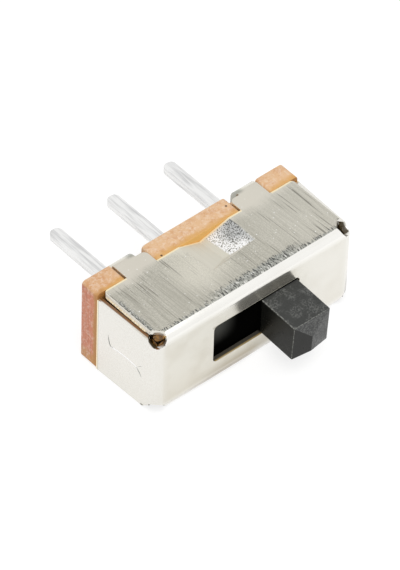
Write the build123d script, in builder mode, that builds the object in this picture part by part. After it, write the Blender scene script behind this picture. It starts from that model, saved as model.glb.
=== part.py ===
from build123d import *
import os

# Slide switch with three terminals, lying on one long side.
# X runs along its length, the knob points to -Y, the terminals to +Y, +Z is up.
# The origin is on the middle terminal's axis, in the plane that meets the circuit board.

# Cover, folded from thin plated steel sheet
sheet = 0.20
cover_length = 8.60
cover_height = 3.50
body_depth = 3.70
bend_radius = 0.35
long_wall_inset = 0.19
long_wall_corner = 0.15
end_wall_drop = 0.22
end_wall_lower_drop = 0.05
foot_cut_reach = 0.65
foot_cut_slant = 0.35
foot_cut_rise = 0.27
end_wall_flare = 1.9
relief_radius = 0.30
relief_tilt = 0.30
slot_corner = 0.14
slot_roll = 0.05

# Dent pressed into the rear edge of both long walls
dent_left = -0.90
dent_right = 1.27
dent_valley = 0.02
dent_depth = 0.33
dent_length = 1.46
dent_end_slope = 1.0
dent_turn = 6.0

# Tabs that close the cover behind the board
tab_margin = 1.18
tab_width = 1.28
tab_flat_end = 0.22
leaf_width = 0.86
leaf_length = 0.95
leaf_corner = 0.20
tab_bend = 0.41

# Board of laminated paper
board_overhang = 0.07
board_thickness = 0.80
board_corner = 0.15
board_clearance = 0.02

# Terminals, stamped from flat strip
pin_pitch = 2.50
pin_width = 0.48
pin_thickness = 0.30
pin_length = 3.50
pin_tip_radius = 0.20
blade_width = 1.70
blade_reach = 0.95
blade_corner = 0.25
pin_fit = 0.01

# Slider with its knob
travel = 2.00
knob_length = 1.57
knob_height = 1.52
knob_projection = 1.57
knob_offset = 0.06
knob_lean = 3.0
knob_crown = 0.10
knob_crown_height = 0.80
knob_edge = 0.05
knob_tip_edge = 0.03
knob_clearance = 0.05
flange_end_clearance = 0.10
flange_thickness = 0.80
flange_corner = 0.20
slider_clearance = 0.05
boss_length = 3.00
boss_height = 2.00
boss_depth = 0.85

# Sprung contact clip held in the back of the slider
clip_length = 2.50
clip_thickness = 0.12
clip_height = 1.00
clip_web_depth = 0.25
clip_pinch_depth = 1.25
clip_flare_depth = 0.25
clip_flare = 0.18
clip_gap = 0.02
clip_slit = 0.30

# Levels from the circuit board forward
board_rear = -sheet
board_front = board_rear - board_thickness
cover_front = board_rear - body_depth
cover_inside = cover_front + sheet
half_height = cover_height / 2
half_length = cover_length / 2
plate_half_length = half_length - bend_radius
plate_half_height = half_height - bend_radius
tab_outer = half_length - tab_margin
tab_inner = tab_outer - tab_width
leaf_inner = tab_outer - leaf_width
board_length = cover_length + 2 * board_overhang
end_wall_foot = end_wall_lower_drop - half_height
end_wall_height = cover_height - end_wall_drop - end_wall_lower_drop

# The knob fills the slot but for the travel and its clearance
slot_length = travel + knob_length + 2 * knob_clearance
slot_height = knob_height + 2 * knob_clearance
slider_x = travel / 2
knob_x = slider_x + knob_offset
flange_front = cover_inside + slider_clearance
flange_rear = flange_front + flange_thickness
flange_length = cover_length - travel - 2 * (sheet + flange_end_clearance)
flange_height = cover_height - 2 * (sheet + slider_clearance)
boss_rear = flange_rear + boss_depth
blade_front = board_front - blade_reach


def wall_section(reach, flare):
    # One wall and its bend: local X runs back along the wall, local Y points outwards, flare in degrees
    centre = Vector(cover_front + bend_radius, reach - bend_radius)
    along = Vector(1, 0).rotate(Axis.Z, flare)
    across = Vector(0, 1).rotate(Axis.Z, flare)
    outer_start = centre + across * bend_radius
    inner_start = centre + across * (bend_radius - sheet)
    with BuildSketch() as section:
        with BuildLine():
            CenterArc(centre, bend_radius, 90 + flare, 90 - flare)
            CenterArc(centre, bend_radius - sheet, 90 + flare, 90 - flare)
            Line((cover_front, centre.Y), (cover_inside, centre.Y))
            Polyline(
                outer_start,
                outer_start + along * ((board_front - outer_start.X) / along.X),
                inner_start + along * ((board_front - inner_start.X) / along.X),
                inner_start,
            )
        make_face()
    return section.sketch


def dent_wedge(grow):
    # V-shaped wedge with a sloping front end, struck a little askew, grown outwards on all its slopes
    slope = Vector(0, 1, dent_end_slope).normalized()
    front = Vector(0, board_front - dent_length, half_height) - slope * grow
    rear_edge = Vector(dent_valley, board_front, half_height)
    with BuildPart() as wedge:
        with BuildSketch(Plane.XZ.offset(-board_front)):
            with BuildLine():
                Polyline(
                    (dent_left, half_height),
                    (dent_right, half_height),
                    (dent_valley, half_height - dent_depth),
                    close=True,
                )
            make_face()
            if grow > 0:
                offset(amount=grow, kind=Kind.INTERSECTION)
            with Locations((0, half_height)):
                Rectangle(cover_length, cover_height, align=(Align.CENTER, Align.MAX), mode=Mode.INTERSECT)
        extrude(amount=2 * dent_length, both=True)
        split(bisect_by=Plane(origin=front, z_dir=slope), keep=Keep.TOP)
    with BuildPart() as turned:
        add(wedge.part.rotate(Axis(rear_edge, (0, 0, 1)), dent_turn))
        split(bisect_by=Plane(origin=rear_edge, z_dir=(0, 1, 0)), keep=Keep.BOTTOM)
    return turned.part


def tab_solid():
    # Tab at the right of the upper long wall: a flat root, then a leaf bent down behind the board
    bend_start = -tab_bend
    with BuildPart() as tab:
        with BuildSketch(Plane.YZ.offset(leaf_inner)):
            centre = (bend_start, half_height - tab_bend)
            with BuildLine():
                CenterArc(centre, tab_bend, 0, 90)
                CenterArc(centre, tab_bend - sheet, 0, 90)
                Polyline(
                    (bend_start, half_height),
                    (board_front, half_height),
                    (board_front, half_height - sheet),
                    (bend_start, half_height - sheet),
                )
                Polyline(
                    (0, centre[1]),
                    (0, half_height - leaf_length),
                    (board_rear, half_height - leaf_length),
                    (board_rear, centre[1]),
                )
            make_face()
        extrude(amount=tab_outer - leaf_inner)
        leaf_tip = tab.edges().filter_by(Axis.Y).group_by(Axis.Z)[0]
        fillet(leaf_tip, leaf_corner)
        with BuildSketch(Plane.XY.offset(half_height - sheet)):
            with Locations((tab_inner, board_front)):
                Rectangle(leaf_inner - tab_inner, board_thickness - tab_flat_end, align=(Align.MIN, Align.MIN))
        extrude(amount=sheet)
        notch_corner = tab.edges().filter_by(Axis.Z).group_by(Axis.X)[0].sort_by(Axis.Y)[-1]
        fillet(notch_corner, leaf_corner)
    return tab.part


dent_outside = dent_wedge(0)
dent_inside = dent_wedge(sheet)
upper_right_tab = tab_solid()

with BuildPart() as cover:
    # Front plate
    with BuildSketch(Plane.XZ.offset(-cover_inside)):
        Rectangle(2 * plate_half_length, 2 * plate_half_height)
    extrude(amount=sheet)
    # Upper long wall with its dent and tabs, then the lower one
    with BuildSketch(Plane.YZ):
        add(wall_section(half_height, 0))
    extrude(amount=half_length - long_wall_inset, both=True)
    rear_corners = cover.edges().filter_by(Axis.Z).group_by(Axis.Y)[-1]
    fillet(rear_corners, long_wall_corner)
    add(dent_inside)
    add(dent_outside, mode=Mode.SUBTRACT)
    add(upper_right_tab)
    add(mirror(upper_right_tab, about=Plane.YZ, mode=Mode.PRIVATE))
    mirror(about=Plane.XY)
    # End walls, cut a little shorter above than below
    for upright in (-1, 1):
        with BuildSketch(Plane(origin=(0, 0, end_wall_foot), x_dir=(0, 1, 0), z_dir=(0, 0, upright))):
            add(wall_section(half_length, end_wall_flare))
        extrude(amount=upright * end_wall_height)
    # Slanted cut at their lower front corners
    for side in (-1, 1):
        with BuildSketch(Plane.YZ.offset(side * (half_length - sheet))):
            with BuildLine():
                Polyline(
                    (cover_front + foot_cut_reach, end_wall_foot),
                    (cover_front + foot_cut_reach - foot_cut_slant, end_wall_foot + foot_cut_rise),
                    (cover_front, end_wall_foot + foot_cut_rise),
                    (cover_front, end_wall_foot),
                    close=True,
                )
            make_face()
        extrude(amount=side * bend_radius, mode=Mode.SUBTRACT)
    # Slot for the knob
    with BuildSketch(Plane.XZ.offset(-cover_inside)):
        with Locations((knob_offset, 0)):
            RectangleRounded(slot_length, slot_height, slot_corner)
    extrude(amount=sheet, mode=Mode.SUBTRACT)
    slot_rim = cover.faces().sort_by(Axis.Y)[0].inner_wires().edges()
    fillet(slot_rim, slot_roll)
    # Relief holes where three folds meet
    for side in (-1, 1):
        for level in (-1, 1):
            fold_corner = Vector(side * plate_half_length, cover_front + bend_radius, level * plate_half_height)
            outwards = Vector(side, -1, level).normalized()
            rim = Plane(origin=fold_corner + outwards * bend_radius, z_dir=(side, -1, level * relief_tilt))
            with BuildSketch(rim):
                Circle(relief_radius)
            extrude(amount=bend_radius, both=True, mode=Mode.SUBTRACT)

with BuildPart() as board:
    tab_centre = (tab_inner + tab_outer) / 2
    tab_slot = tab_outer - tab_inner + 2 * board_clearance
    with BuildSketch(Plane.XZ.offset(-board_front)) as board_outline:
        Rectangle(board_length, cover_height)
        with GridLocations(2 * tab_centre, cover_height, 2, 2):
            Rectangle(tab_slot, 2 * tab_bend, mode=Mode.SUBTRACT)
        top_and_bottom = board_outline.vertices().group_by(Axis.Y)
        fillet(top_and_bottom[0] + top_and_bottom[-1], board_corner)
        with GridLocations(pin_pitch, 1, 3, 1):
            Rectangle(pin_width + 2 * pin_fit, pin_thickness + 2 * pin_fit, mode=Mode.SUBTRACT)
    extrude(amount=-board_thickness)

with BuildPart() as knob:
    # Its end rises to a low upright ridge that stops short of the upper edge
    crown_tip = cover_front - knob_projection - knob_crown
    knob_root = flange_front + flange_thickness / 2
    with BuildSketch(Plane.XZ.offset(-knob_root)):
        with Locations((knob_x, 0)):
            Rectangle(knob_length, knob_height)
    extrude(amount=knob_root - crown_tip)
    for side in (-1, 1):
        side_slope = Vector(side * knob_crown, -knob_length / 2, 0).normalized()
        split(bisect_by=Plane(origin=(knob_x, crown_tip, 0), z_dir=side_slope), keep=Keep.BOTTOM)
    upper_slope = Vector(0, -knob_crown_height, knob_crown).normalized()
    ridge_top = (knob_x, crown_tip, knob_height / 2 - knob_crown_height)
    split(bisect_by=Plane(origin=ridge_top, z_dir=upper_slope), keep=Keep.BOTTOM)
    knob_sides = knob.edges().filter_by(Axis.Y).filter_by_position(Axis.Y, crown_tip, cover_front)
    fillet(knob_sides, knob_edge)
    knob_end = knob.edges().filter_by_position(Axis.Y, crown_tip, crown_tip + knob_crown + knob_tip_edge)
    fillet(knob_end, knob_tip_edge)

with BuildPart() as slider:
    # Flange that slides behind the slot, with the knob hanging a little as its play lets it
    with BuildSketch(Plane.XZ.offset(-flange_front)):
        with Locations((slider_x, 0)):
            RectangleRounded(flange_length, flange_height, flange_corner)
    extrude(amount=-flange_thickness)
    add(knob.part.rotate(Axis((knob_x, cover_front, 0), (1, 0, 0)), knob_lean))
    # Boss that carries the contact clip in a channel
    with BuildSketch(Plane.XZ.offset(-flange_rear)):
        with Locations((slider_x, 0)):
            Rectangle(boss_length, boss_height)
    extrude(amount=-boss_depth)
    with BuildSketch(Plane.XZ.offset(-boss_rear)):
        with Locations((slider_x, 0)):
            Rectangle(clip_length + 2 * clip_gap, clip_height + 2 * clip_gap)
    extrude(amount=boss_depth - clip_web_depth, mode=Mode.SUBTRACT)

with BuildPart() as contact_clip:
    web_front = flange_rear + clip_web_depth
    pinch = pin_thickness / 2 + clip_gap + clip_thickness / 2
    shoulder = clip_height / 2 - clip_thickness / 2
    with BuildSketch(Plane.YZ.offset(slider_x - clip_length / 2)):
        with BuildLine():
            Polyline(
                (web_front + clip_pinch_depth + clip_flare_depth, pinch + clip_flare),
                (web_front + clip_pinch_depth, pinch),
                (web_front + clip_thickness / 2, shoulder),
                (web_front + clip_thickness / 2, -shoulder),
                (web_front + clip_pinch_depth, -pinch),
                (web_front + clip_pinch_depth + clip_flare_depth, -pinch - clip_flare),
            )
        trace(line_width=clip_thickness)
    extrude(amount=clip_length)
    # Slit that parts each leg into two fingers
    with BuildSketch(Plane.XY.offset(-half_height)):
        with Locations((slider_x, web_front + 2 * clip_thickness)):
            Rectangle(clip_slit, clip_pinch_depth + clip_flare_depth, align=(Align.CENTER, Align.MIN))
    extrude(amount=cover_height, mode=Mode.SUBTRACT)

terminals = {"terminal_left": -pin_pitch, "terminal_middle": 0, "terminal_right": pin_pitch}
finished = {"cover": cover.part, "board": board.part, "slider": slider.part, "contact_clip": contact_clip.part}

for terminal_name, terminal_x in terminals.items():
    with BuildPart() as terminal:
        with BuildSketch(Plane.XY.offset(-pin_thickness / 2)) as blank:
            with Locations((terminal_x, blade_front)):
                Rectangle(blade_width, blade_reach, align=(Align.CENTER, Align.MIN))
            with Locations((terminal_x, board_front)):
                Rectangle(pin_width, pin_length - board_front, align=(Align.CENTER, Align.MIN))
            fillet(blank.vertices().group_by(Axis.Y)[0], blade_corner)
            fillet(blank.vertices().group_by(Axis.Y)[-1], pin_tip_radius)
        extrude(amount=pin_thickness)
    finished[terminal_name] = terminal.part

os.makedirs("parts", exist_ok=True)
for node_name, node_part in finished.items():
    node_part.label = node_name
    export_step(node_part, f"parts/{node_name}.step")
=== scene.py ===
import math
import bpy
from mathutils import Matrix, Vector


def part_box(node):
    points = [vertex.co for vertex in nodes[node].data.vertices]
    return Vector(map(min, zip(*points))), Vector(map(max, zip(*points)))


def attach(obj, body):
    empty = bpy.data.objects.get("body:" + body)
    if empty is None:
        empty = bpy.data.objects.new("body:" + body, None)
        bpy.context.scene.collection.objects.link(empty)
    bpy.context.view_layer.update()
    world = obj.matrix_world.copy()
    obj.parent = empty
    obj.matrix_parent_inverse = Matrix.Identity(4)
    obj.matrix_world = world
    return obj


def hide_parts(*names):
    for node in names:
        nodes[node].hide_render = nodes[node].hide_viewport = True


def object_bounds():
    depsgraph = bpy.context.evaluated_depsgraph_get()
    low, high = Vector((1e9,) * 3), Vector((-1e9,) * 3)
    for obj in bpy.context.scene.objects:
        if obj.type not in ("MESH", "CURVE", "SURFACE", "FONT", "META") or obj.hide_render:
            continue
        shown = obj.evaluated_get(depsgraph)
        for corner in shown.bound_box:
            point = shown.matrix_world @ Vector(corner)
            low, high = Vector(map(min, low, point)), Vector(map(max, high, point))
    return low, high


# Miniature slide switch with three terminals, lying on one long side.
# The CAD model is the frame: metres, X along the switch, knob to -Y, terminals to +Y, Z up.
# Lengths that aren't multiplied by mm are already in millimetres, as the materials use them.
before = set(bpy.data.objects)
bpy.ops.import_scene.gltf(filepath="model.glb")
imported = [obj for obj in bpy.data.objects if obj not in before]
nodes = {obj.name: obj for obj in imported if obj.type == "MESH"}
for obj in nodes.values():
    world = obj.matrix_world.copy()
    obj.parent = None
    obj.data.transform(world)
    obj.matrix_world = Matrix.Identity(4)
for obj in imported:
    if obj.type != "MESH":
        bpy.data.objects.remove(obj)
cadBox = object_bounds()
mm = 0.001
print("frame loaded:", ", ".join(sorted(nodes)))


def corners(node):  # a CAD node's lowest and highest corner in millimetres, to the micrometre
    return [[round(value / mm, 3) for value in corner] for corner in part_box(node)]


def linear(hexColour):  # sRGB hex to the linear colour that shaders take
    channels = [int(hexColour[i:i + 2], 16) / 255 for i in (1, 3, 5)]
    return [c / 12.92 if c <= 0.04045 else ((c + 0.055) / 1.055) ** 2.4 for c in channels] + [1]


def addNode(tree, kind, settings=None, inputs=None):  # one node with its settings, values and links
    made = tree.nodes.new("ShaderNode" + kind)
    for name, value in (settings or {}).items():
        if name == "stops":  # colour ramp as pairs of place and grey level or colour
            ramp = made.color_ramp
            while len(ramp.elements) < len(value):
                ramp.elements.new(0.5)
            for element, (place, colour) in zip(ramp.elements, value):
                element.position = place
                element.color = linear(colour) if isinstance(colour, str) else [colour] * 3 + [1]
        else:
            setattr(made, name, value)
    for socket, value in (inputs or {}).items():
        if isinstance(value, bpy.types.NodeSocket):
            tree.links.new(value, made.inputs[socket])
        else:
            made.inputs[socket].default_value = value
    return made


def addNodes(tree, named, steps):
    # Several nodes in order; an input given as text is the result of an earlier one, such as "place.X"
    for name, kind, settings, inputs in steps:
        pairs = inputs.items() if isinstance(inputs, dict) else enumerate(inputs)
        given = {socket: named[value] if isinstance(value, str) else value for socket, value in pairs}
        made = addNode(tree, kind, settings, given)
        named[name] = next(output for output in made.outputs if output.enabled)
        named.update({name + "." + output.name: output for output in made.outputs if output.enabled})


# Settings that many nodes share
plus, minus, times = [{"operation": word} for word in ("ADD", "SUBTRACT", "MULTIPLY")]
timesPlus, size = [{"operation": word} for word in ("MULTIPLY_ADD", "ABSOLUTE")]
smaller, larger = [{"operation": word} for word in ("MINIMUM", "MAXIMUM")]
apart = {"operation": "DISTANCE"}
smooth = {"interpolation_type": "SMOOTHSTEP"}
colours = {"data_type": "RGBA"}


def spanSteps(spans):  # a mask for each span of a value, 0 at its first end and 1 at its last
    return [(name, "MapRange", smooth, {"Value": value, "From Min": first, "From Max": last})
            for name, (value, first, last) in spans.items()]


def groupSteps(how, groups):  # one mask from several: times is where all meet, larger where any is
    steps = []
    for name, (mask, *others) in groups.items():
        for number, other in enumerate(others, 1):
            result = name if number == len(others) else name + str(number)
            steps.append((result, "Math", how, [mask, other]))
            mask = result
    return steps


def perMm(sizes):  # the scale of a pattern that has these sizes in millimetres
    return tuple(1 / size for size in sizes)


def paint(tree, named, base, coats):
    # Coats of colour over a base, each by its mask and at its strength
    colour = base
    for mask, strength, over in coats:
        share = addNode(tree, "Math", times, {0: named[mask], 1: strength}).outputs[0]
        over = named[over] if over in named else linear(over)
        colour = addNode(tree, "Mix", colours, {0: share, 6: colour, 7: over}).outputs[2]
    return colour


def startMaterial(name):  # empty material with the point on the piece in millimetres
    made = bpy.data.materials.new(name)
    made.use_nodes = True
    tree = made.node_tree
    tree.nodes.clear()
    named = {}
    addNodes(tree, named, [
        ("coords", "TexCoord", {}, {}),
        ("point", "VectorMath", {"operation": "SCALE"}, {0: "coords.Object", "Scale": 1 / mm}),
        ("place", "SeparateXYZ", {}, ["point"]),
        ("facing", "SeparateXYZ", {}, ["coords.Normal"]),
        ("length", "Math", size, ["place.X"]),
        ("height", "Math", size, ["place.Z"]),
        ("facingSide", "Math", size, ["facing.X"]),
        ("facingUp", "Math", size, ["facing.Z"]),
    ])
    return made, tree, named


def finishMaterial(tree, named, colour, relief, depth, finish, unlit=None):
    # One surface shader over the piece, its plain numbers set on its own sockets; where the mask
    # named in unlit is 1 a fully dull colour takes its place
    bump = addNode(tree, "Bump", inputs={"Height": named[relief], "Strength": 1.0, "Distance": depth})
    finish.update({"Base Color": colour, "Normal": bump.outputs[0]})
    shader = addNode(tree, "BsdfPrincipled", inputs=finish)
    if unlit:
        mask, dullColour = unlit
        flat = addNode(tree, "BsdfDiffuse", inputs={"Color": dullColour})
        shader = addNode(tree, "MixShader", inputs={0: named[mask], 1: shader.outputs[0], 2: flat.outputs[0]})
    addNode(tree, "OutputMaterial", inputs={"Surface": shader.outputs[0]})


def towards(azimuth, elevation):  # the way from the object to a camera or lamp at these angles in degrees
    around, above = math.radians(azimuth), math.radians(elevation)
    return Vector((math.sin(around) * math.cos(above), -math.cos(around) * math.cos(above), math.sin(above)))


# Camera: the photograph's angle, distance and lens
shot = {
    "azimuth": -42.27,
    "elevation": 45.45,
    "roll": -2.01,
    "distance": 178.7 * mm,
    "across": 0.638 * mm,
    "upwards": -0.146 * mm,
    "target": Vector((0, -2.1, 0.045)) * mm,
    "lens": 341.2,
    "nearest": 5 * mm,
    "farthest": 10,
}


def placeCamera(shot):
    around, roll = math.radians(shot["azimuth"]), math.radians(shot["roll"])
    back = towards(shot["azimuth"], shot["elevation"])
    level = Vector((math.cos(around), math.sin(around), 0))
    upright = back.cross(level)
    right = level * math.cos(roll) - upright * math.sin(roll)
    up = level * math.sin(roll) + upright * math.cos(roll)
    bpy.ops.object.camera_add()
    camera = bpy.context.object
    camera.name = "studioCamera"
    turn = Matrix((right, up, back)).transposed().to_4x4()
    spot = shot["target"] + back * shot["distance"] - right * shot["across"] - up * shot["upwards"]
    camera.matrix_world = Matrix.Translation(spot) @ turn
    camera.data.lens = shot["lens"]
    camera.data.clip_start = shot["nearest"]
    camera.data.clip_end = shot["farthest"]
    bpy.context.scene.camera = camera


placeCamera(shot)
print("camera placed")

# Studio: even white surroundings, one large softbox near the camera, white floor that keeps the shadow
studio = {
    "surroundLevel": 0.66,
    "softboxSide": 0.34,
    "softboxDistance": 0.42,
    "softboxAzimuth": -30.0,
    "softboxElevation": 62.0,
    "softboxLevel": 1.9,
    "floorSide": 4.0,
    "floorColour": "#D8D8D6",
    "floorShown": 0.72,
    "floorShadowColour": "#A8A8A8",
}


def seenRays(tree):  # 1 for the rays that show the background: camera, glossy and transmission
    named = {}
    addNodes(tree, named, [
        ("path", "LightPath", {}, {}),
        ("either", "Math", larger, ["path.Is Camera Ray", "path.Is Glossy Ray"]),
        ("seen", "Math", larger, ["either", "path.Is Transmission Ray"]),
    ])
    return named["seen"]


def lightStudio(studio):
    world = bpy.data.worlds.new("softStudioWorld")
    bpy.context.scene.world = world
    world.use_nodes = True
    tree = world.node_tree
    tree.nodes.clear()
    white = (1, 1, 1, 1)
    light = addNode(tree, "Background", inputs={"Color": white, "Strength": studio["surroundLevel"]})
    shown = addNode(tree, "Background", inputs={"Color": white, "Strength": 1.0})
    both = addNode(tree, "MixShader", inputs={0: seenRays(tree), 1: light.outputs[0], 2: shown.outputs[0]})
    addNode(tree, "OutputWorld", inputs={"Surface": both.outputs[0]})

    back = towards(studio["softboxAzimuth"], studio["softboxElevation"])
    bpy.ops.object.light_add(type="AREA", location=back * studio["softboxDistance"])
    softbox = bpy.context.object
    softbox.name = "softbox"
    softbox.rotation_euler = (-back).to_track_quat("-Z", "Y").to_euler()
    softbox.data.size = studio["softboxSide"]
    softbox.data.energy = studio["softboxLevel"] * math.pi * studio["softboxSide"] ** 2

    bpy.ops.mesh.primitive_plane_add(size=studio["floorSide"], location=(0, 0, cadBox[0].z))
    floor = bpy.context.object
    floor.name = "studioFloor"
    paper = bpy.data.materials.new("studioFloorPaper")
    paper.use_nodes = True
    tree = paper.node_tree
    tree.nodes.clear()
    lit = addNode(tree, "BsdfDiffuse", inputs={"Color": linear(studio["floorColour"])})
    shade = addNode(tree, "BsdfDiffuse", inputs={"Color": linear(studio["floorShadowColour"])})
    glow = addNode(tree, "Emission", inputs={"Color": white, "Strength": studio["floorShown"]})
    seen = addNode(tree, "AddShader", inputs={0: shade.outputs[0], 1: glow.outputs[0]})
    both = addNode(tree, "MixShader", inputs={0: seenRays(tree), 1: lit.outputs[0], 2: seen.outputs[0]})
    addNode(tree, "OutputMaterial", inputs={"Surface": both.outputs[0]})
    floor.data.materials.append(paper)
    bpy.context.scene.view_settings.view_transform = "Standard"


lightStudio(studio)
print("studio lit")


def dressedCopy(nodeName, pieceName, body, look):
    # The node's own shape with its hard edges eased as on the real part
    piece = bpy.data.objects.new(pieceName, nodes[nodeName].data.copy())
    bpy.context.scene.collection.objects.link(piece)
    bpy.ops.object.select_all(action="DESELECT")
    piece.select_set(True)
    bpy.context.view_layer.objects.active = piece
    bpy.ops.object.mode_set(mode="EDIT")
    bpy.ops.mesh.select_all(action="SELECT")
    bpy.ops.mesh.remove_doubles(threshold=look["weld"])
    bpy.ops.mesh.dissolve_limited(angle_limit=math.radians(look["flatAngle"]))
    bpy.ops.object.mode_set(mode="OBJECT")
    bpy.ops.object.shade_smooth()
    ease = piece.modifiers.new("easedEdges", "BEVEL")
    ease.width = look["edge"]
    ease.segments = look["edgeSteps"]
    ease.limit_method = "ANGLE"
    ease.angle_limit = math.radians(look["sharpAngle"])
    ease.use_clamp_overlap = False
    ease.harden_normals = True
    bpy.ops.object.modifier_apply(modifier=ease.name)
    piece.data.materials.clear()
    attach(piece, body)
    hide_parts(nodeName)
    return piece


# Cover: steel sheet, nickel plated and bright, its long walls brushed from front to back
coverLook = {
    "weld": 0.0001 * mm,
    "flatAngle": 0.5,
    "edge": 0.015 * mm,
    "edgeSteps": 3,
    "sharpAngle": 14,
    "brushLine": (0.034, 1.8, 0.3),  # mm across, along and deep, drawn coarser than the real lines to show
    "brushBand": (0.40, 2.5, 0.4),
    "brushDrift": 0.03,
    "scratchLine": (0.045, 1.9, 0.3),
    "scratchShift": (3.7, 0.4, 0),  # so that they don't follow the brushing lines
    "tornStroke": (0.040, 0.13, 0.13),
    "grit": 0.045,  # mm across, as the next three are
    "dust": 0.08,
    "cloud": 0.7,
    "ripple": 0.9,
    "bendRagged": 0.45,
    "sideRagged": 0.35,
    "rootLoose": 0.8,
    "dentSkew": 0.1086,
    "glarePlace": (-1.15, -2.35, 1.75),
    "cornerPlace": (1.15, -1.45, 1.70),
    "rippleShare": 1.2,
    "gritShare": 0.5,
    "relief": 0.006 * mm,
    "polish": 0.20,
    "brushedDull": 0.22,
    "insideDull": 0.4,
    "dullest": 0.6,
    "metal": 0.83,
    "plateColour": "#E4E1D7",
    "mottleColour": "#D2CCBD",
    # painted light: the next two make the end walls and the corner into them lighter than the front
    "endColour": "#ECEAE4",
    "cornerLightColour": "#EAE8E0",
    # painted highlight on the front bends
    "bendHighlightColour": "#FCFBF8",
    # tarnish in the end walls' mottle, and the painted shade towards the bottom
    "tarnishAndShadeColour": "#C2B8A4",
    "brushedColour": "#C0BDB1",
    "brushLightColour": "#CFCCC1",
    "rightTopColour": "#D8D5CA",
    "brushDarkColour": "#A9A69A",
    # brushing scratches, and the painted shadow line on the end walls
    "scratchAndShadowColour": "#7E7B72",
    "grainColour": "#9D9A8F",
    "glareColour": "#DDD9CC",
    "rootColour": "#D4CFC3",
    "facetColour": "#E0DCCD",
    "edgeHighlightColour": "#FFFAEE",
    "rearEdgeHighlightColour": "#F7E9C4",
    "rustAndShadeColour": "#7C4D14",
    "insideLitGreaseColour": "#E2C48E",
    "hollowColour": "#4A3F2A",
    "leafEdgeColour": "#8F9288",
    "slotRimColour": "#C9C3B2",
    "tearColour": "#A8A9A2",
    "gritShadeColour": "#7E827E",
    "gritDarkAndShadowColour": "#4A4B4A",
    "gritLightColour": "#FFFFFF",
    "tornLightColour": "#EDECE8",
    "brightFrontColour": "#F4F2EC",
    # colour of the painted reflection above the slot and the painted shade below it and on the lower bend
    "stainColour": "#8E7D5C",
    "slotLipColour": "#2A2112",
    "slotLipHighlightColour": "#B39A66",
    "lipHighlightColour": "#EFEDE8",
    "footColour": "#5C5646",
}

# Planes and ends in mm: the outer ones from the frame, the cover's own folds and slot as in the CAD model
(_, coverFront, _), (_, _, coverTop) = corners("cover")
(_, boardFront, _), (boardEnd, boardRear, boardTop) = corners("board")
sheet = 0.20
wallEnd = 4.11  # where the long walls end
wallFoot, flareFrom = 4.30, -3.55  # X and Y where an end wall leaves its bend
wallFlare = 0.0332  # how fast it then leans outwards
wallFace = wallFoot - wallFlare * flareFrom  # its outer face, measured without that lean
wallInside = wallFace - sheet
slotEnd, slotHigh = 1.835, 0.80  # half the slot's length and height

coverPiece = dressedCopy("cover", "coverSheet", "housing", coverLook)
print("cover dressed")


def plateGrain(tree, named, look):
    # Brushing lines with broader bands among them, turned a little; grit, torn strokes and soft clouds
    addNodes(tree, named, [
        ("drifted", "Math", timesPlus, ["place.Y", look["brushDrift"], "place.X"]),
        ("brushPoint", "CombineXYZ", {}, ["drifted", "place.Y", "place.Z"]),
        ("lineSpace", "Mapping", {}, {0: "brushPoint", "Scale": perMm(look["brushLine"])}),
        ("lines", "TexNoise", {}, {"Vector": "lineSpace", "Scale": 1.0, "Detail": 2.0, "Roughness": 0.6}),
        ("bandSpace", "Mapping", {}, {0: "brushPoint", "Scale": perMm(look["brushBand"])}),
        ("bands", "TexNoise", {}, {"Vector": "bandSpace", "Scale": 1.0, "Detail": 2.0}),
        ("scratchSpace", "Mapping", {}, {
            0: "brushPoint", "Location": look["scratchShift"], "Scale": perMm(look["scratchLine"])}),
        ("strokes", "TexNoise", {}, {"Vector": "scratchSpace", "Scale": 1.0, "Detail": 1.0}),
        ("grit", "TexNoise", {}, {"Vector": "point", "Scale": 1 / look["grit"], "Detail": 2.0}),
        ("tornSpace", "Mapping", {}, {0: "point", "Scale": perMm(look["tornStroke"])}),
        ("torn", "TexNoise", {}, {"Vector": "tornSpace", "Scale": 1.0, "Detail": 1.0}),
        ("clouds", "TexNoise", {}, {"Vector": "point", "Scale": 1 / look["cloud"], "Detail": 3.0}),
        ("ripples", "TexNoise", {}, {"Vector": "point", "Scale": 1 / look["ripple"], "Detail": 1.0}),
        ("dust", "TexNoise", {}, {"Vector": "point", "Scale": 1 / look["dust"], "Detail": 0.0}),
        ("tornOff", "Math", minus, ["torn", 0.5]),
        ("cloudOff", "Math", minus, ["clouds", 0.5]),
    ])


def plateFaces(tree, named, look):
    # Distances along the sheet, some made uneven by the grain, and the faces that several marks share
    addNodes(tree, named, [
        ("ragged", "Math", timesPlus, ["tornOff", look["bendRagged"], "place.Y"]),
        ("raggedSide", "Math", timesPlus, ["tornOff", look["sideRagged"], "length"]),
        ("loose", "Math", timesPlus, ["cloudOff", look["rootLoose"], "place.Y"]),
        ("askew", "Math", timesPlus, ["place.Y", look["dentSkew"], "place.X"]),
        ("wall", "Math", timesPlus, ["place.Y", -wallFlare, "length"]),
        ("outwards", "Math", times, ["facing.Z", "place.Z"]),
        ("endwards", "Math", times, ["facing.X", "place.X"]),
    ])
    addNodes(tree, named, spanSteps({
        "outer": ("height", coverTop - 0.022, coverTop - 0.014),
        "behindBend": ("place.Y", coverFront + 0.23, coverFront + 0.27),
        "root": ("loose", boardFront - 0.45, boardFront + 0.05),
        "endWall": ("length", wallFoot - 0.60, wallFoot - 0.02),
        "onFront": ("facing.Y", -0.5, -0.7),
        "lipFacing": ("facing.Z", 0.4, 0.6),
        "leftEnd": ("place.X", 0.0, -1.0),
        "rightward": ("place.X", 0.8, 3.0),
        "nearDent": ("length", 1.35, 1.25),
        "behindDent": ("place.Y", coverFront + 1.15, coverFront + 1.25),
        "gritDark": ("grit", 0.53, 0.43),
    }))
    addNodes(tree, named, [("notRoot", "Math", minus, [1.0, "root"])])
    addNodes(tree, named, groupSteps(times, {
        "brushed": ("outer", "behindBend"),
        "brushing": ("brushed", "notRoot"),
    }))


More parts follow.
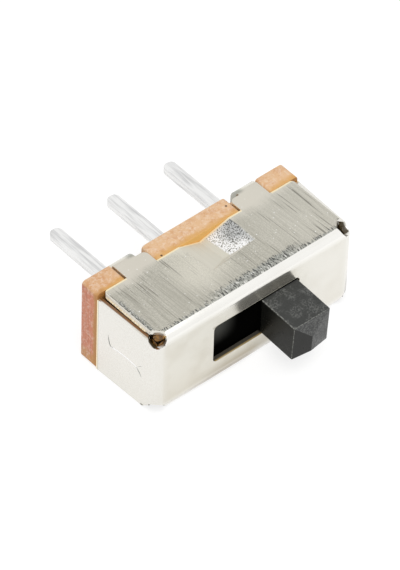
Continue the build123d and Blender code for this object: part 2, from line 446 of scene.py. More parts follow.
def frontAndEnds(tree, named, look):
    # Smooth plate of the front and the end walls: darker towards the bottom as painted shade, a painted
    # reflection of the knob above the slot, painted shade below the slot and on the lower bend, a painted
    # shadow line at the end walls' rear, a painted highlight on the front bends, the end walls and the corner
    # into them painted lighter, and a dark ragged mark at the left foot
    addNodes(tree, named, [
        ("mottle", "MapRange", {}, {"Value": "clouds", "From Min": 0.40, "From Max": 0.75}),
    ])
    addNodes(tree, named, spanSteps({
        "low": ("place.Z", 0.1, -coverTop),
        "cornerSide": ("length", wallFoot - 0.38, wallFoot - 0.28),
        "cornerFront": ("place.Y", coverFront + 0.45, coverFront + 0.30),
        "bendFront": ("place.Y", coverFront + 0.28, coverFront + 0.23),
        "bendHigh": ("height", coverTop - 0.53, coverTop - 0.19),
        "stainHigh": ("place.Z", coverTop - 0.25, coverTop - 0.50),
        "stainFoot": ("place.Z", slotHigh - 0.10, slotHigh),
        "stainRight": ("place.X", 1.9, 1.5),
        "stainLeft": ("place.X", -1.5, -0.4),
        "underRows": ("place.Z", -slotHigh - 0.05, -slotHigh - 0.55),
        "underLeft": ("place.X", -3.0, -1.0),
        "underRight": ("place.X", 0.7, -0.2),
        "underBendRows": ("place.Z", 0.41 - coverTop, 0.31 - coverTop),
        "underBendLeft": ("place.X", -3.6, -1.2),
        "underBendRight": ("place.X", 0.3, -0.5),
        "footLow": ("place.Z", 0.17 - coverTop, 0.09 - coverTop),
        "footSide": ("place.X", 0.95 - wallFoot, 0.70 - wallFoot),
        "footFront": ("place.Y", coverFront + 0.85, coverFront + 0.70),
        "footTorn": ("torn", 0.52, 0.42),
        "wallRear": ("place.Y", boardFront - 0.10, boardFront - 0.085),
        "wallRearEnd": ("place.Y", boardFront - 0.05, boardFront - 0.065),
    }))
    addNodes(tree, named, groupSteps(times, {
        "corner": ("cornerSide", "cornerFront"),
        "endMottle": ("gritDark", "endWall"),
        "frontRight": ("rightward", "onFront"),
        "stain": ("stainHigh", "stainFoot", "stainRight", "stainLeft", "onFront"),
        "underSlot": ("underRows", "underLeft", "underRight", "onFront"),
        "foot": ("footLow", "footSide", "footFront", "footTorn"),
        "wallLine": ("wallRear", "wallRearEnd", "endWall"),
        "bend": ("bendFront", "bendHigh"),
        "underBend": ("underBendLeft", "underBendRight", "underBendRows"),
    }))
    return [
        ("mottle", 0.5, look["mottleColour"]),
        # painted shade: darker towards the bottom
        ("low", 0.25, look["tarnishAndShadeColour"]),
        # painted light: the front corner and the end walls lighter than the front, for the bright
        # surroundings they face
        ("corner", 0.8, look["cornerLightColour"]),
        ("endWall", 1.0, look["endColour"]),
        # painted shade: the end walls also darker towards the bottom
        ("low", 0.10, look["tarnishAndShadeColour"]),
        ("endMottle", 0.12, look["tarnishAndShadeColour"]),
        ("frontRight", 0.5, look["brightFrontColour"]),
        # painted reflection: the knob's dark reflection on the plate above the slot
        ("stain", 0.15, look["stainColour"]),
        # painted shade: the plate below the slot darker
        ("underSlot", 0.48, look["stainColour"]),
        ("foot", 0.9, look["footColour"]),
        # painted shadow: a dark line along the end walls near the board's front
        ("wallLine", 0.5, look["scratchAndShadowColour"]),
        # painted highlight: the front bends near white
        ("bend", 0.7, look["bendHighlightColour"]),
        # painted shade: the lower bend darker
        ("underBend", 0.55, look["stainColour"]),
    ]


def brushedWalls(tree, named, look):
    # Long walls: brushed skin with scratches, plain near the tabs' roots, smooth on the dents' slopes
    addNodes(tree, named, [
        ("fromGlare", "VectorMath", apart, ["point", look["glarePlace"]]),
        ("brushTone", "ValToRGB", {"stops": [
            (0.30, look["brushDarkColour"]), (0.50, look["brushedColour"]), (0.72, look["brushLightColour"]),
        ]}, ["lines"]),
    ])
    addNodes(tree, named, spanSteps({
        "glare": ("fromGlare", 1.5, 0.2),
        "scratch": ("strokes", 0.61, 0.66),
        "banded": ("bands", 0.40, 0.56),
        "speck": ("dust", 0.80, 0.83),
        "turnedOut": ("outwards", 0.55, 0.75),
        "belowTop": ("height", coverTop - 0.006, coverTop - 0.012),
        "roundDent": ("length", 2.3, 1.0),
        "leftOfDent": ("place.X", 0.4, -0.2),
        "afterDent": ("place.Y", coverFront + 0.7, coverFront + 1.7),
    }))
    addNodes(tree, named, groupSteps(times, {
        "plainRoot": ("outer", "root"),
        "dentHalo": ("roundDent", "leftOfDent", "afterDent", "brushed"),
        "dentSkin": ("turnedOut", "belowTop", "nearDent", "behindDent"),
        "grained": ("gritDark", "brushing"),
        "rightTop": ("rightward", "brushed"),
        "scratches": ("scratch", "banded", "brushing"),
        "glared": ("glare", "brushed"),
        "specks": ("speck", "brushed"),
    }))
    return [
        ("brushed", 1.0, "brushTone"),
        ("plainRoot", 1.0, look["rootColour"]),
        ("dentHalo", 0.6, look["facetColour"]),
        ("dentSkin", 1.0, "brushTone"),
        ("dentSkin", 0.75, look["facetColour"]),
        ("grained", 0.45, look["grainColour"]),
        ("rightTop", 0.35, look["rightTopColour"]),
        ("scratches", 0.80, look["scratchAndShadowColour"]),
        ("glared", 0.5, look["glareColour"]),
        ("specks", 0.7, look["gritLightColour"]),
    ]


def bendMarks(tree, named, look):
    # Where the folds tore the brushed skin: along the front bend and at the left ends; and a painted
    # highlight on the corner lip
    addNodes(tree, named, [
        ("tornTone", "ValToRGB", {"stops": [
            (0.36, look["gritDarkAndShadowColour"]), (0.48, look["tearColour"]), (0.60, look["tearColour"]),
            (0.68, look["tornLightColour"]),
        ]}, ["torn"]),
    ])
    addNodes(tree, named, spanSteps({
        "tearFront": ("place.Y", coverFront + 0.23, coverFront + 0.25),
        "tearRearWide": ("ragged", coverFront + 0.60, coverFront + 0.52),
        "tearRearThin": ("ragged", coverFront + 0.37, coverFront + 0.30),
        "middleLeft": ("place.X", -2.2, -0.6),
        "middleRight": ("place.X", 2.8, 1.5),
        "sideTear": ("raggedSide", wallEnd - 0.18, wallEnd - 0.09),
        "sideTearEnd": ("length", wallEnd - 0.004, wallEnd - 0.018),
        "sideTearFront": ("place.Y", boardFront - 0.5, boardFront - 0.8),
        "lipCorner": ("place.X", 0.40 - wallFoot, 0.25 - wallFoot),
        "lipCornerFront": ("place.Y", coverFront + 0.54, coverFront + 0.40),
    }))
    addNodes(tree, named, groupSteps(times, {"tearWide": ("tearRearWide", "middleLeft", "middleRight")}))
    addNodes(tree, named, groupSteps(larger, {"tearRear": ("tearWide", "tearRearThin")}))
    addNodes(tree, named, groupSteps(times, {
        "sideMarks": ("sideTear", "sideTearEnd", "sideTearFront", "brushed", "leftEnd"),
        "sideGrit": ("sideMarks", "gritDark"),
        "tear": ("tearFront", "tearRear", "outer"),
        "cornerLip": ("lipCorner", "lipCornerFront", "lipFacing"),
    }))
    return [
        ("sideMarks", 0.8, "tornTone"),
        ("sideGrit", 0.85, look["gritDarkAndShadowColour"]),
        ("tear", 0.95, "tornTone"),
        # painted highlight: the lip at the left front corner near white
        ("cornerLip", 0.9, look["lipHighlightColour"]),
    ]


def struckMark(tree, named, look):
    # Right slope of each dent, left gritty by the punch; painted shade darkens it towards its front corner,
    # and a painted shadow line runs along its border
    addNodes(tree, named, [
        ("fromCorner", "VectorMath", apart, ["point", look["cornerPlace"]]),
        ("gritTone", "ValToRGB", {"stops": [
            (0.33, look["gritDarkAndShadowColour"]), (0.43, look["brushLightColour"]), (0.50, look["gritLightColour"]),
        ]}, ["grit"]),
    ])
    addNodes(tree, named, spanSteps({
        "tilted": ("facingUp", 0.990, 0.980),
        "tiltLeft": ("facing.X", -0.08, -0.14),
        "struckSide": ("askew", 0.10, 0.16),
        "struckRear": ("place.Y", boardFront - 0.04, boardFront - 0.12),
        "dentCorner": ("fromCorner", 0.75, 0.25),
        "dentEdge": ("askew", 0.75, 1.10),
        "dentBorder": ("askew", 1.10, 1.15),
        "dentBorderEnd": ("place.Y", coverFront + 1.75, coverFront + 1.90),
    }))
    addNodes(tree, named, groupSteps(times, {
        "struck": ("nearDent", "behindDent", "tilted", "tiltLeft", "struckSide", "struckRear"),
        "cornerGrit": ("gritDark", "dentCorner"),
        "borderLine": ("dentBorder", "dentBorderEnd"),
    }))
    addNodes(tree, named, groupSteps(larger, {
        "darkSpan": ("dentCorner", "dentEdge"),
        "cornerMarks": ("cornerGrit", "borderLine"),
    }))
    addNodes(tree, named, groupSteps(times, {
        "struckShade": ("darkSpan", "struck"),
        "struckDark": ("cornerMarks", "struck"),
    }))
    return [
        ("struck", 1.0, "gritTone"),
        # painted shade: the slope darker towards its front corner and outer edge
        ("struckShade", 0.55, look["gritShadeColour"]),
        # painted shadow line along the border, with dark grit near the corner
        ("struckDark", 0.8, look["gritDarkAndShadowColour"]),
    ]


def sheetEdges(tree, named, look):
    # Sheared edges, bare or browned, with painted highlights on the long walls' end edges, the rear edge and
    # the slot lip's front; the end walls' inner top edges browned and darkened with painted shade; the inside
    # yellowed by grease and painted lighter than it is; painted shade in the corner hole
    addNodes(tree, named, spanSteps({
        "leafRear": ("place.Y", boardRear - 0.26, boardRear - 0.10),
        "leafInner": ("length", 2.62, 2.36),
        "slotTop": ("place.Z", slotHigh + 0.075, slotHigh + 0.045),
        "slotTopEdge": ("place.Z", slotHigh - 0.04, slotHigh - 0.01),
        "slotLength": ("length", slotEnd + 0.065, slotEnd - 0.035),
        "sideRim": ("length", wallEnd - 0.018, wallEnd - 0.004),
        "rimEnd": ("length", wallEnd + 0.07, wallEnd + 0.03),
        "thick": ("height", coverTop - 0.21, coverTop - 0.19),
        "rearEdge": ("place.Y", boardFront - 0.085, boardFront - 0.055),
        "noTab": ("length", 1.86, 1.82),
        "pastTab": ("length", 3.14, 3.17),
        "sheared": ("facingUp", 0.85, 0.95),
        "shearedBelow": ("height", coverTop - 0.05, coverTop - 0.06),
        "shearedOut": ("length", wallEnd - 0.02, wallEnd - 0.005),
        "shearedInner": ("wall", wallFace - 0.058, wallFace - 0.108),
        "insideLength": ("wall", wallInside + 0.007, wallInside - 0.003),
        "insideHeight": ("height", coverTop - 0.194, coverTop - 0.198),
        "insideDepth": ("place.Y", coverFront + 0.195, coverFront + 0.205),
        "insideRear": ("place.Y", boardFront, boardFront - 0.02),
        "turnedIn": ("outwards", 0.6, 0.3),
        "lipHigh": ("place.Z", 0.10 - slotHigh, 0.04 - slotHigh),
        "lipLow": ("place.Z", -slotHigh - 0.15, -slotHigh - 0.08),
        "frontSkin": ("place.Y", coverFront + 0.24, coverFront + 0.20),
        "lipFront": ("place.Y", coverFront + 0.07, coverFront + 0.03),
        "hollowFacing": ("endwards", -0.5, -1.0),
        "hollowFront": ("place.Y", coverFront + 0.70, coverFront + 0.63),
        "hollowSide": ("length", wallFoot - 0.015, wallFoot - 0.075),
    }))
    addNodes(tree, named, groupSteps(larger, {"clearOfTabs": ("noTab", "pastTab")}))
    addNodes(tree, named, groupSteps(times, {
        "leafEdge": ("leafRear", "leafInner"),
        "slotRim": ("slotTop", "slotTopEdge", "slotLength", "onFront"),
        "rim": ("sideRim", "rimEnd", "thick"),
        "rearRim": ("rearEdge", "clearOfTabs"),
        "browned": ("sheared", "shearedBelow", "shearedOut", "leftEnd", "shearedInner"),
        "inside": ("insideLength", "insideHeight", "insideDepth", "insideRear", "turnedIn"),
        "slotLip": ("lipHigh", "lipLow", "lipFacing", "slotLength", "frontSkin"),
        "slotLipEdge": ("slotLip", "lipFront"),
        "hollow": ("hollowFacing", "hollowFront", "hollowSide"),
    }))
    return [
        ("leafEdge", 0.7, look["leafEdgeColour"]),
        ("slotRim", 0.8, look["slotRimColour"]),
        # painted highlight: the long walls' end edges near white
        ("rim", 0.9, look["edgeHighlightColour"]),
        # painted highlight: a cream line along the cover's rear edge
        ("rearRim", 0.9, look["rearEdgeHighlightColour"]),
        # browned bare steel, darkened as painted shade on the end walls' inner top edges
        ("browned", 0.95, look["rustAndShadeColour"]),
        # the inside, yellowed by grease and painted much lighter than it is, as painted light against its
        # shade
        ("inside", 1.0, look["insideLitGreaseColour"]),
        ("slotLip", 0.9, look["slotLipColour"]),
        # painted highlight: the slot lip's front edge gold
        ("slotLipEdge", 0.8, look["slotLipHighlightColour"]),
        # painted shade: the corner hole's bare steel dark brown, for the dark inside seen through it
        ("hollow", 1.0, look["hollowColour"]),
    ]


def brushedNickelPlate(look):
    # Bright nickel plate mirrors softly; brushing breaks the mirror into fine dull lines front to back
    made, tree, named = startMaterial("brushedNickelPlate")
    plateGrain(tree, named, look)
    plateFaces(tree, named, look)
    coats = []
    for marks in (frontAndEnds, brushedWalls, bendMarks, struckMark, sheetEdges):
        coats += marks(tree, named, look)
    colour = paint(tree, named, linear(look["plateColour"]), coats)
    addNodes(tree, named, groupSteps(larger, {
        "bare": ("inside", "browned", "hollow", "slotLip", "dentSkin", "slotRim", "rim", "cornerLip"),
        "roughMarks": ("struck", "tear"),
    }))
    addNodes(tree, named, [
        ("dullTop", "Math", timesPlus, ["brushed", look["brushedDull"], look["polish"]]),
        ("dullFacet", "Math", timesPlus, ["dentSkin", look["brushedDull"], "dullTop"]),
        ("dullInside", "Math", timesPlus, ["inside", look["insideDull"], "dullFacet"]),
        ("dull", "Math", smaller, ["dullInside", look["dullest"]]),
        ("clean", "Math", minus, [1.0, "bare"]),
        ("metal", "Math", times, ["clean", look["metal"]]),
        ("lineRelief", "Math", times, ["lines", "brushing"]),
        ("gritRelief", "Math", times, ["grit", "roughMarks"]),
        ("fineRelief", "Math", timesPlus, ["lineRelief", look["gritShare"], "gritRelief"]),
        ("relief", "Math", timesPlus, ["ripples", look["rippleShare"], "fineRelief"]),
    ])
    finishMaterial(tree, named, colour, "relief", look["relief"], {
        "Metallic": named["metal"], "Roughness": named["dull"]})
    return made


coverPiece.data.materials.append(brushedNickelPlate(coverLook))
print("cover plated")

# Score on the left end wall: a fine burr thrown up by a slipped tool, its strokes given by Y and Z in mm
scoreLook = {
    "width": 0.05 * mm,
    "sink": 0.012 * mm,
    "strokes": [
        [(-1.55, 0.427), (-1.58, 0.19), (-1.67, -0.12), (-1.79, -0.094), (-1.96, -0.078), (-2.45, -0.043),
         (-2.93, -0.086), (-3.00, -0.16), (-3.14, -0.286), (-3.243, -0.489)],
        [(-2.95, -0.09), (-3.12, 0.05), (-3.265, 0.18)],
    ],
    "grain": 0.06,
    "endWaver": 0.3,
    "relief": 0.004 * mm,
    "metal": 0.9,
    "dull": 0.35,
    "brightColour": "#FFFFFF",
    "darkColour": "#8F908A",
}

# Beads of metal or grease: the share of their width left at the tips, and the steps round and along them
bead = {"tip": 0.3, "roundSteps": 1, "runSteps": 6}


def layBead(name, width, places):
    # A thin round bead along a line of places in metres, finer at its ends
    bpy.ops.object.select_all(action="DESELECT")
    bpy.ops.curve.primitive_nurbs_path_add()
    bpy.context.object.name = name
    path = bpy.context.object.data
    path.splines.clear()
    line = path.splines.new("NURBS")
    line.points.add(len(places) - 1)
    for spot, place in zip(line.points, places):
        spot.co = (*place, 1)
    line.order_u = 3
    line.use_endpoint_u = True
    line.points[0].radius = line.points[-1].radius = bead["tip"]
    path.bevel_depth = width / 2
    path.bevel_resolution = bead["roundSteps"]
    path.use_fill_caps = True
    path.resolution_u = bead["runSteps"]
    bpy.ops.object.convert(target="MESH")
    return bpy.context.object


def joinPieces(pieces, name, body):
    bpy.ops.object.select_all(action="DESELECT")
    for piece in pieces:
        piece.select_set(True)
    bpy.context.view_layer.objects.active = pieces[0]
    bpy.ops.object.join()
    joined = bpy.context.object
    joined.name = name
    bpy.ops.object.shade_smooth()
    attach(joined, body)
    return joined


def scoredPlate(look):
    # Fresh metal thrown up bright along the middle, grey where the tool dug in and left
    made, tree, named = startMaterial("scoredNickelPlate")
    addNodes(tree, named, [
        ("grain", "TexNoise", {}, {"Vector": "point", "Scale": 1 / look["grain"], "Detail": 1.0}),
        ("grainOff", "Math", minus, ["grain", 0.5]),
        ("along", "Math", timesPlus, ["grainOff", look["endWaver"], "place.Y"]),
    ])
    addNodes(tree, named, spanSteps({"digIn": ("along", -1.85, -1.70), "leave": ("along", -2.90, -3.02)}))
    addNodes(tree, named, groupSteps(larger, {"ends": ("digIn", "leave")}))
    colour = paint(tree, named, linear(look["brightColour"]), [("ends", 1.0, look["darkColour"])])
    finishMaterial(tree, named, colour, "grain", look["relief"], {
        "Metallic": look["metal"], "Roughness": look["dull"]})
    return made


def onEndWall(sink, y, z):  # the place just under the left end wall's outer face at this depth and height
    return sink - (wallFoot + wallFlare * (y - flareFrom)) * mm, y * mm, z * mm


strokes = []
for number, stroke in enumerate(scoreLook["strokes"]):
    places = [onEndWall(scoreLook["sink"], y, z) for y, z in stroke]
    strokes.append(layBead(f"scoreStroke{number}", scoreLook["width"], places))
scorePiece = joinPieces(strokes, "endWallScore", "housing")
scorePiece.data.materials.append(scoredPlate(scoreLook))
print("end wall scored")

# Burrs that the shears left along the long walls' end edges
burrLook = {
    "width": 0.07 * mm,
    "outwards": (wallEnd + 0.005) * mm,
    "height": (coverTop - 0.18) * mm,
    "fromFront": (coverFront + 0.74) * mm,
    "toRear": (boardFront - 0.12) * mm,
    "steps": 24,
    "waver": 0.008 * mm,
    "waverTurns": (2.4, 1.1),
    "grain": 0.07,
    "relief": 0.004 * mm,
    "metal": 0.2,
    "dull": 0.45,
    "colour": "#FFF4DC",
    "shadeColour": "#DDC596",
}


def burrLine(look, side, level):
    places = []
    quick, slow = look["waverTurns"]
    for step in range(look["steps"] + 1):
        waver = look["waver"] * math.sin(step * quick + side) * math.sin(step * slow + level)
        depth = look["fromFront"] + step / look["steps"] * (look["toRear"] - look["fromFront"])
        places.append((side * (look["outwards"] + waver), depth, level * (look["height"] + waver)))
    return places


def shearedEdge(look):
    # Bare torn edge of the sheet, cream with oil
    made, tree, named = startMaterial("shearedSteelEdge")
    addNodes(tree, named, [
        ("grain", "TexNoise", {}, {"Vector": "point", "Scale": 1 / look["grain"], "Detail": 1.0}),
    ])
    addNodes(tree, named, spanSteps({"shade": ("grain", 0.58, 0.42)}))
    colour = paint(tree, named, linear(look["colour"]), [("shade", 0.8, look["shadeColour"])])
    finishMaterial(tree, named, colour, "grain", look["relief"], {
        "Metallic": look["metal"], "Roughness": look["dull"]})
    return made


burrs = [layBead(f"burr{side}{level}", burrLook["width"], burrLine(burrLook, side, level))
         for side in (-1, 1) for level in (-1, 1)]
burrPiece = joinPieces(burrs, "shearBurrs", "housing")
burrPiece.data.materials.append(shearedEdge(burrLook))
print("burrs laid")

# Grease that the slider has squeezed against the end wall and the front plate and up under the left corner
# hole; each dab has its line of places in mm, its centre and the shares it is squeezed to
greaseLook = {
    "width": 0.40 * mm,
    "dabs": [
        ([(-4.058, -3.52, 0.98), (-4.058, -3.49, 1.14), (-4.058, -3.46, 1.30), (-4.058, -3.36, 1.34)],
         Vector((-4.058, -3.46, 1.22)) * mm, (0.16, 1, 1)),
        ([(-3.98, -3.678, 0.98), (-3.90, -3.678, 1.14), (-3.86, -3.678, 1.26), (-3.72, -3.678, 1.33)],
         Vector((-3.86, -3.678, 1.22)) * mm, (1, 0.09, 1)),
        ([(-4.06, -3.44, 1.53), (-4.0, -3.5, 1.53), (-3.92, -3.58, 1.53), (-3.79, -3.69, 1.53)],
         Vector((-3.92, -3.58, 1.53)) * mm, (1, 1, 0.08)),
    ],
    "lump": 0.12,
    "relief": 0.02 * mm,
    "dull": 0.35,
    "ior": 1.47,
    "colour": "#8A5F22",
    "darkColour": "#2E1E0A",
}


def greaseDab(look, line, centre, squeeze):
    dab = layBead("greaseDab", look["width"], [Vector(place) * mm for place in line])
    bpy.ops.object.mode_set(mode="EDIT")
    bpy.ops.mesh.select_all(action="SELECT")
    bpy.ops.transform.resize(value=squeeze, center_override=centre)
    bpy.ops.object.mode_set(mode="OBJECT")
    return dab


def darkGrease(look):
    # Old grease, brown and uneven
    made, tree, named = startMaterial("darkContactGrease")
    addNodes(tree, named, [
        ("lumps", "TexNoise", {}, {"Vector": "point", "Scale": 1 / look["lump"], "Detail": 2.0}),
    ])
    addNodes(tree, named, spanSteps({"dark": ("lumps", 0.55, 0.42)}))
    colour = paint(tree, named, linear(look["colour"]), [("dark", 0.7, look["darkColour"])])
    finishMaterial(tree, named, colour, "lumps", look["relief"], {
        "Roughness": look["dull"], "IOR": look["ior"]})
    return made


greasePiece = joinPieces([greaseDab(greaseLook, *dab) for dab in greaseLook["dabs"]],
                         "squeezedGrease", "housing")
greasePiece.data.materials.append(darkGrease(greaseLook))
print("grease laid")

# Board: sheet of phenolic paper, punched to size
boardLook = {
    "weld": 0.0001 * mm,
    "flatAngle": 0.5,
    "edge": 0.03 * mm,
    "edgeSteps": 3,
    "sharpAngle": 30,
    "fibre": 0.10,  # mm across, as the next two are; clumps of fibres, since one alone is too fine to show
    "pulp": 0.28,
    "cloud": 0.6,
    "streak": (0.2, 0.06, 0.45),  # mm along X, Y and Z
    "resinWaver": 0.35,
    "endWander": 0.6,
    "relief": 0.008 * mm,
    "dull": 0.55,
    "ior": 1.55,
    "faceColour": "#E8BE92",
    "fibreColour": "#FBE9D6",
    "pulpColour": "#D0905A",
    "resinColour": "#DCA34A",
    # painted shade: the board's end face
    "endColour": "#DA876A",
    "frontEdgeColour": "#A87034",
    "streakColour": "#B4634A",
    "thinEdgeColour": "#F0BA66",
    "lowEndColour": "#D08F4A",
    "frontCornerColour": "#B8824A",
    "speckColour": "#50300F",
    "speckRadius": 0.055,
    "specks": [(1.579, -0.551, 1.75), (-1.576, -0.95, 1.75)],
}

boardPiece = dressedCopy("board", "boardSheet", "housing", boardLook)


def punchedPhenolicPaper(look):
    # Paper soaked in resin: warm orange, pale fibre ends, golden where resin lies thick
    made, tree, named = startMaterial("punchedPhenolicPaper")
    addNodes(tree, named, [
        ("fibres", "TexNoise", {}, {
            "Vector": "point", "Scale": 1 / look["fibre"], "Detail": 4.0, "Roughness": 0.7}),
        ("streakSpace", "Mapping", {}, {0: "point", "Scale": perMm(look["streak"])}),
        ("streaks", "TexNoise", {}, {"Vector": "streakSpace", "Scale": 1.0, "Detail": 2.0}),
        ("pulp", "TexNoise", {}, {
            "Vector": "point", "Scale": 1 / look["pulp"], "Detail": 4.0, "Roughness": 0.65}),
        ("clouds", "TexNoise", {}, {"Vector": "point", "Scale": 1 / look["cloud"], "Detail": 2.0}),
        ("cloudOff", "Math", minus, ["clouds", 0.5]),
        ("wavering", "Math", timesPlus, ["cloudOff", look["resinWaver"], "place.Y"]),
        ("wandering", "Math", timesPlus, ["cloudOff", look["endWander"], "place.Z"]),
        ("fromRightSpeck", "VectorMath", apart, ["point", look["specks"][0]]),
        ("fromLeftSpeck", "VectorMath", apart, ["point", look["specks"][1]]),
        ("nearSpeck", "Math", smaller, ["fromRightSpeck", "fromLeftSpeck"]),
    ])
    addNodes(tree, named, spanSteps({
        "endFace": ("length", boardEnd - 0.015, boardEnd - 0.002),
        "resin": ("wavering", boardFront + 0.26, boardFront + 0.04),
        "lowEnd": ("wandering", 0.80 - boardTop, 0.20 - boardTop),
        "highEnd": ("wandering", boardTop - 0.30, boardTop),
        "fibre": ("fibres", 0.46, 0.66),
        "darkPulp": ("pulp", 0.52, 0.38),
        "speck": ("nearSpeck", look["speckRadius"], look["speckRadius"] * 0.5),
        "frontFace": ("facing.Y", -0.6, -0.8),
        "nearEnd": ("length", 3.3, 3.6),
        "cornerDepth": ("wavering", boardFront + 0.24, boardFront + 0.08),
        "cornerLength": ("place.X", 0.47 - boardEnd, 0.17 - boardEnd),
        "leftDark": ("place.X", -2.6, -4.0),
        "streak": ("streaks", 0.50, 0.62),
    }))
    addNodes(tree, named, [
        ("notHigh", "Math", minus, [1.0, "highEnd"]),
        ("notLow", "Math", minus, [1.0, "lowEnd"]),
    ])
    addNodes(tree, named, groupSteps(times, {
        "redEnd": ("endFace", "notHigh", "notLow"),
        "endStreak": ("endFace", "streak"),
        "frontEnd": ("frontFace", "nearEnd"),
        "lowEndFace": ("endFace", "lowEnd"),
        "frontCorner": ("cornerDepth", "cornerLength"),
    }))
    colour = paint(tree, named, linear(look["faceColour"]), [
        ("leftDark", 0.35, look["pulpColour"]),
        ("darkPulp", 0.50, look["pulpColour"]),
        # painted shade: the end face redder and darker than the lit top
        ("redEnd", 0.9, look["endColour"]),
        ("lowEndFace", 0.6, look["lowEndColour"]),
        ("endStreak", 0.4, look["streakColour"]),
        ("fibre", 0.42, look["fibreColour"]),
        ("resin", 0.70, look["resinColour"]),
        ("frontFace", 0.85, look["thinEdgeColour"]),
        ("frontCorner", 0.7, look["frontCornerColour"]),
        ("frontEnd", 0.9, look["frontEdgeColour"]),
        ("speck", 0.95, look["speckColour"]),
    ])
    finishMaterial(tree, named, colour, "fibres", look["relief"], {
        "Roughness": look["dull"], "IOR": look["ior"]})
    return made


boardPiece.data.materials.append(punchedPhenolicPaper(boardLook))
print("board dressed")

# Slider: black acetal, moulded, its knob scuffed by fingers
sliderLook = {
    "weld": 0.0001 * mm,
    "flatAngle": 0.5,
    "edge": 0.045 * mm,
    "edgeSteps": 4,
    "sharpAngle": 30,
    "scuff": 0.45,  # mm across, as the next one is
    "skin": 0.055,  # the mould's satin grain, drawn coarser than it is to show
    "edgeWaver": 0.14,
    "glossyScuff": 0.22,
    "dullScuff": 0.40,
    "relief": 0.003 * mm,
    "ior": 1.48,
    "specular": 0.14,
    "baseColour": "#070706",
    "innerColour": "#060605",
    # painted light: the lit inner corner, the knob's face greys, its edge lines and its lit end facet
    "innerLitColour": "#5C5C58",
    "sideColour": "#2C2C28",
    "topColour": "#4C4D4B",
    "scuffAndSheenColour": "#868784",
    "edgeHighlightColour": "#A0A19C",
    "endColour": "#585959",
    "endDarkColour": "#2C2C2A",
}

sliderPiece = dressedCopy("slider", "sliderMoulding", "actuator", sliderLook)


def mouldedAcetal(look):
    # Deep black with a dull gloss; painted light gives each face of the knob its own grey, darker towards the
    # sides' roots, lighter on the end's right and upward facets with a grain, with light lines on its edges
    # and a lit patch inside behind the slot's left end; handling leaves pale scuffs on the top of the knob
    made, tree, named = startMaterial("mouldedBlackAcetal")
    addNodes(tree, named, [
        ("scuffs", "TexNoise", {}, {
            "Vector": "point", "Scale": 1 / look["scuff"], "Detail": 4.0, "Roughness": 0.65}),
        ("skin", "TexNoise", {}, {"Vector": "point", "Scale": 1 / look["skin"], "Detail": 2.0}),
        ("dull", "MapRange", {}, {
            "Value": "scuffs", "From Min": 0.3, "From Max": 0.7,
            "To Min": look["glossyScuff"], "To Max": look["dullScuff"]}),
        # how squarely the surface faces along X, Y or Z: 1 on the faces and less on the rounded edges
        ("facingDepth", "Math", size, ["facing.Y"]),
        ("sideways", "Math", larger, ["facingSide", "facingDepth"]),
        ("square", "Math", larger, ["sideways", "facingUp"]),
        ("edgeWaver", "Math", timesPlus, ["scuffs", look["edgeWaver"], "square"]),
    ])
    addNodes(tree, named, spanSteps({
        "proud": ("place.Y", coverFront + 0.04, coverFront - 0.01),
        "sideRoot": ("place.Y", coverFront - 1.0, coverFront - 0.2),
        "up": ("facing.Z", 0.75, 0.90),
        "out": ("facing.Y", -0.80, -0.95),
        "right": ("facing.X", 0.02, 0.10),
        "endUp": ("facing.Z", 0.04, 0.09),
        "worn": ("scuffs", 0.44, 0.60),
        "innerLeft": ("place.X", -0.5, -1.5),
        "innerHigh": ("place.Z", -0.5, 0.5),
        "pitted": ("skin", 0.45, 0.58),
        "edge": ("edgeWaver", 1.04, 0.96),
    }))
    addNodes(tree, named, [("sunk", "Math", minus, [1.0, "proud"])])
    addNodes(tree, named, groupSteps(larger, {"brightFacet": ("right", "endUp")}))
    addNodes(tree, named, groupSteps(times, {
        "side": ("proud", "facingSide"),
        "sideDark": ("side", "sideRoot"),
        "end": ("proud", "out"),
        "endBright": ("end", "brightFacet"),
        "endPits": ("endBright", "pitted"),
        "top": ("proud", "up"),
        "wornPits": ("top", "worn", "pitted"),
        "edgeProud": ("edge", "proud"),
        "edgeWorn": ("edge", "pitted", "proud"),
        "innerCorner": ("innerLeft", "innerHigh"),
    }))
    # painted light: each face of the knob its own grey for the light it reflects, lit and shaded copies of
    # one black
    colour = paint(tree, named, linear(look["baseColour"]), [
        ("side", 0.8, look["sideColour"]),
        # painted shade: the sides darker towards the root
        ("sideDark", 0.6, look["baseColour"]),
        ("end", 0.9, look["endDarkColour"]),
        # painted light: the end's right and upward facets lighter, broken by the mould grain
        ("endBright", 0.65, look["endColour"]),
        ("endPits", 0.45, look["scuffAndSheenColour"]),
        ("top", 0.75, look["topColour"]),
        ("wornPits", 0.40, look["scuffAndSheenColour"]),
        # painted highlight: light lines along the knob's eased edges
        ("edgeProud", 0.25, look["edgeHighlightColour"]),
        ("edgeWorn", 0.6, look["edgeHighlightColour"]),
    ])
    # painted light: the inner face behind the slot's left end lit grey, fading away from it
    innerColour = paint(tree, named, linear(look["innerColour"]), [
        ("innerCorner", 0.9, look["innerLitColour"]),
    ])
    finishMaterial(tree, named, colour, "skin", look["relief"], {
        "Roughness": named["dull"], "IOR": look["ior"], "Specular IOR Level": look["specular"],
    }, ("sunk", innerColour))
    return made


sliderPiece.data.materials.append(mouldedAcetal(sliderLook))
print("slider coloured")

# Terminals: brass strip, stamped and tinned
pinLook = {
    "weld": 0.0001 * mm,
    "flatAngle": 0.5,
    "edge": 0.03 * mm,
    "edgeSteps": 3,
    "sharpAngle": 30,
    "drawnLine": (0.10, 1.4, 0.10),  # mm across, along and deep, drawn coarser than the real lines to show
    "lump": 0.35,
    "lumpShare": 2.0,
    "relief": 0.006 * mm,
    "metal": 0.9,
    "dull": 0.32,
    "tinColour": "#EFEFEE",
    "tinDarkColour": "#CFCFCF",
}


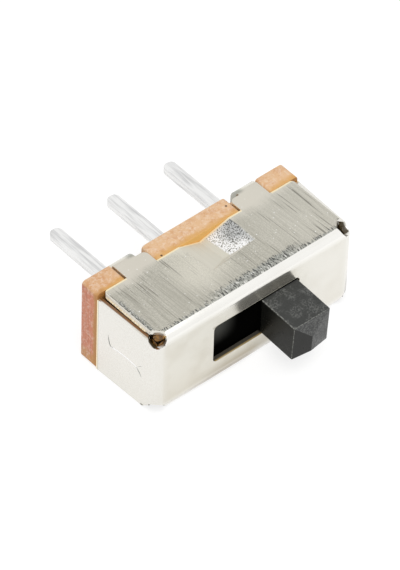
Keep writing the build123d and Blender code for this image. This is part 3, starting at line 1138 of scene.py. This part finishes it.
def dippedTin(look):
    # Soft bright tin over brass, with faint lengthwise drawing lines
    made, tree, named = startMaterial("tinnedBrass")
    addNodes(tree, named, [
        ("lineSpace", "Mapping", {}, {0: "point", "Scale": perMm(look["drawnLine"])}),
        ("lines", "TexNoise", {}, {"Vector": "lineSpace", "Scale": 1.0, "Detail": 2.0, "Roughness": 0.6}),
        ("lumps", "TexNoise", {}, {"Vector": "point", "Scale": 1 / look["lump"], "Detail": 2.0}),
        ("relief", "Math", timesPlus, ["lumps", look["lumpShare"], "lines"]),
        ("tone", "ValToRGB", {"stops": [
            (0.30, look["tinDarkColour"]), (0.55, look["tinColour"]),
        ]}, ["lines"]),
    ])
    finishMaterial(tree, named, named["tone"], "relief", look["relief"], {
        "Metallic": look["metal"], "Roughness": look["dull"]})
    return made


tinned = dippedTin(pinLook)
for side in ("left", "middle", "right"):
    pin = dressedCopy("terminal_" + side, side + "Terminal", "housing", pinLook)
    pin.data.materials.append(tinned)
print("terminals dressed")

# Contact clip: phosphor bronze strip
clipLook = {
    "rolledLine": (1.0, 0.05, 0.05),  # mm along, across and deep, drawn coarser than the real lines to show
    "relief": 0.004 * mm,
    "metal": 1.0,
    "dull": 0.3,
    "bronzeColour": "#C08A55",
    "bronzeDarkColour": "#8E5F38",
}


def rolledBronze(look):
    # Warm metal with rolling lines along the strip
    made, tree, named = startMaterial("rolledPhosphorBronze")
    addNodes(tree, named, [
        ("lineSpace", "Mapping", {}, {0: "point", "Scale": perMm(look["rolledLine"])}),
        ("lines", "TexNoise", {}, {"Vector": "lineSpace", "Scale": 1.0, "Detail": 3.0}),
        ("tone", "ValToRGB", {"stops": [
            (0.35, look["bronzeDarkColour"]), (0.60, look["bronzeColour"]),
        ]}, ["lines"]),
    ])
    finishMaterial(tree, named, named["tone"], "lines", look["relief"], {
        "Metallic": look["metal"], "Roughness": look["dull"]})
    return made


bronze = rolledBronze(clipLook)
for slot in nodes["contact_clip"].material_slots:
    slot.material = bronze
print("contact clip coloured")
